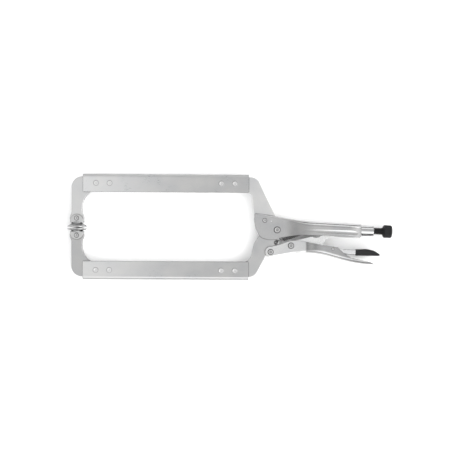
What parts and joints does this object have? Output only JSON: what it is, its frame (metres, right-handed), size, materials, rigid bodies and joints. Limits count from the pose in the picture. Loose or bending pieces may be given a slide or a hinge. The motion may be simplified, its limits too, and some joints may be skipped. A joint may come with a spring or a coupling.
{
  "type": "locking c clamp",
  "caption": "Long-reach locking C clamp: channel arms with swivel pads, toggle-locked pressed handles, knurled adjusting screw and a release lever with a dipped grip.",
  "frame": {"origin": "centre of the fixed pad's clamping face, in the middle plane of the jaws", "axes": "+X back along the throat towards the handles, +Y towards the fixed arm, +Z square to the plane in which the jaws move"},
  "size_m": [0.4559, 0.1485, 0.027],
  "materials": {
    "plated_jaw": "satin nickel plate",
    "plated_handle": "bright nickel plate",
    "rivet_steel": "satin",
    "black_oxide": "black oxide",
    "black_vinyl": "dipped vinyl",
    "spring_wire": "oiled spring steel"
  },
  "bodies": {
    "frame": {"fixed_handle": "plated_handle", "fixed_jaw_plate": "plated_jaw", "fixed_jaw_rivet": "rivet_steel", "jaw_pivot_rivet": "rivet_steel", "fixed_arm_channel": "plated_jaw", "fixed_front_rivet_1": "rivet_steel", "fixed_front_rivet_2": "rivet_steel", "fixed_rear_rivet_1": "rivet_steel", "fixed_rear_rivet_2": "rivet_steel", "fixed_jaw_tip": "plated_jaw", "tension_spring": "spring_wire"},
    "moving_jaw": {"moving_jaw_plate": "plated_jaw", "moving_arm_channel": "plated_jaw", "moving_front_rivet_1": "rivet_steel", "moving_front_rivet_2": "rivet_steel", "moving_rear_rivet_1": "rivet_steel", "moving_rear_rivet_2": "rivet_steel", "moving_jaw_tip": "plated_jaw"},
    "fixed_swivel_pad": {"fixed_pad": "plated_jaw", "fixed_pad_rivet": "rivet_steel"},
    "moving_swivel_pad": {"moving_pad": "plated_jaw", "moving_pad_rivet": "rivet_steel"},
    "lower_grip": {"lower_handle": "plated_handle", "handle_pivot_rivet": "rivet_steel", "link_rivet": "rivet_steel", "release_pin": "rivet_steel"},
    "link": {"toggle_link": "plated_handle"},
    "release": {"release_lever": "plated_handle", "release_lever_grip": "black_vinyl"},
    "screw_shaft": {"adjusting_screw": "black_oxide"},
    "screw_knob": {"screw_head": "black_oxide"}
  },
  "joints": [
    {"name": "jaw_pivot", "type": "hinge", "parent": "frame", "child": "moving_jaw", "pos_m": [0.2809, -0.0029, 0], "axis": [0, 0, 1], "range_deg": [0, 28], "deforming": ["tension_spring"]},
    {"name": "handle_pivot", "type": "hinge", "parent": "moving_jaw", "child": "lower_grip", "pos_m": [0.2719, -0.0339, 0], "axis": [0, 0, 1], "range_deg": [-82, 0]},
    {"name": "link_pivot", "type": "hinge", "parent": "lower_grip", "child": "link", "pos_m": [0.3004, -0.0249, 0], "axis": [0, 0, 1], "range_deg": [0, 79]},
    {"name": "release_lever_pivot", "type": "hinge", "parent": "lower_grip", "child": "release", "pos_m": [0.3586, -0.0293, 0], "axis": [0, 0, 1], "range_deg": [-6.5, 0]},
    {"name": "fixed_pad_swivel", "type": "hinge", "parent": "frame", "child": "fixed_swivel_pad", "pos_m": [0, 0.0122, 0], "axis": [0, 0, 1], "range_deg": [-4, 4]},
    {"name": "moving_pad_swivel", "type": "hinge", "parent": "moving_jaw", "child": "moving_swivel_pad", "pos_m": [0, -0.0119, 0], "axis": [0, 0, 1], "range_deg": [-4, 4]},
    {"name": "screw_travel", "type": "slide", "parent": "frame", "child": "screw_shaft", "axis": [0.9994, -0.0349, 0], "range_m": [0, 0.012]},
    {"name": "knob_turn", "type": "hinge", "parent": "screw_shaft", "child": "screw_knob", "pos_m": [0.4294, -0.00426, 0], "axis": [0.9994, -0.0349, 0], "range_deg": [0, 2880.5]}
  ],
  "couplings": [
    {"joint": "handle_pivot", "follows": "jaw_pivot", "ratio": -2.9},
    {"joint": "link_pivot", "follows": "jaw_pivot", "ratio": 2.8},
    {"joint": "knob_turn", "follows": "screw_travel", "rad_per_m": 4188.8}
  ]
}
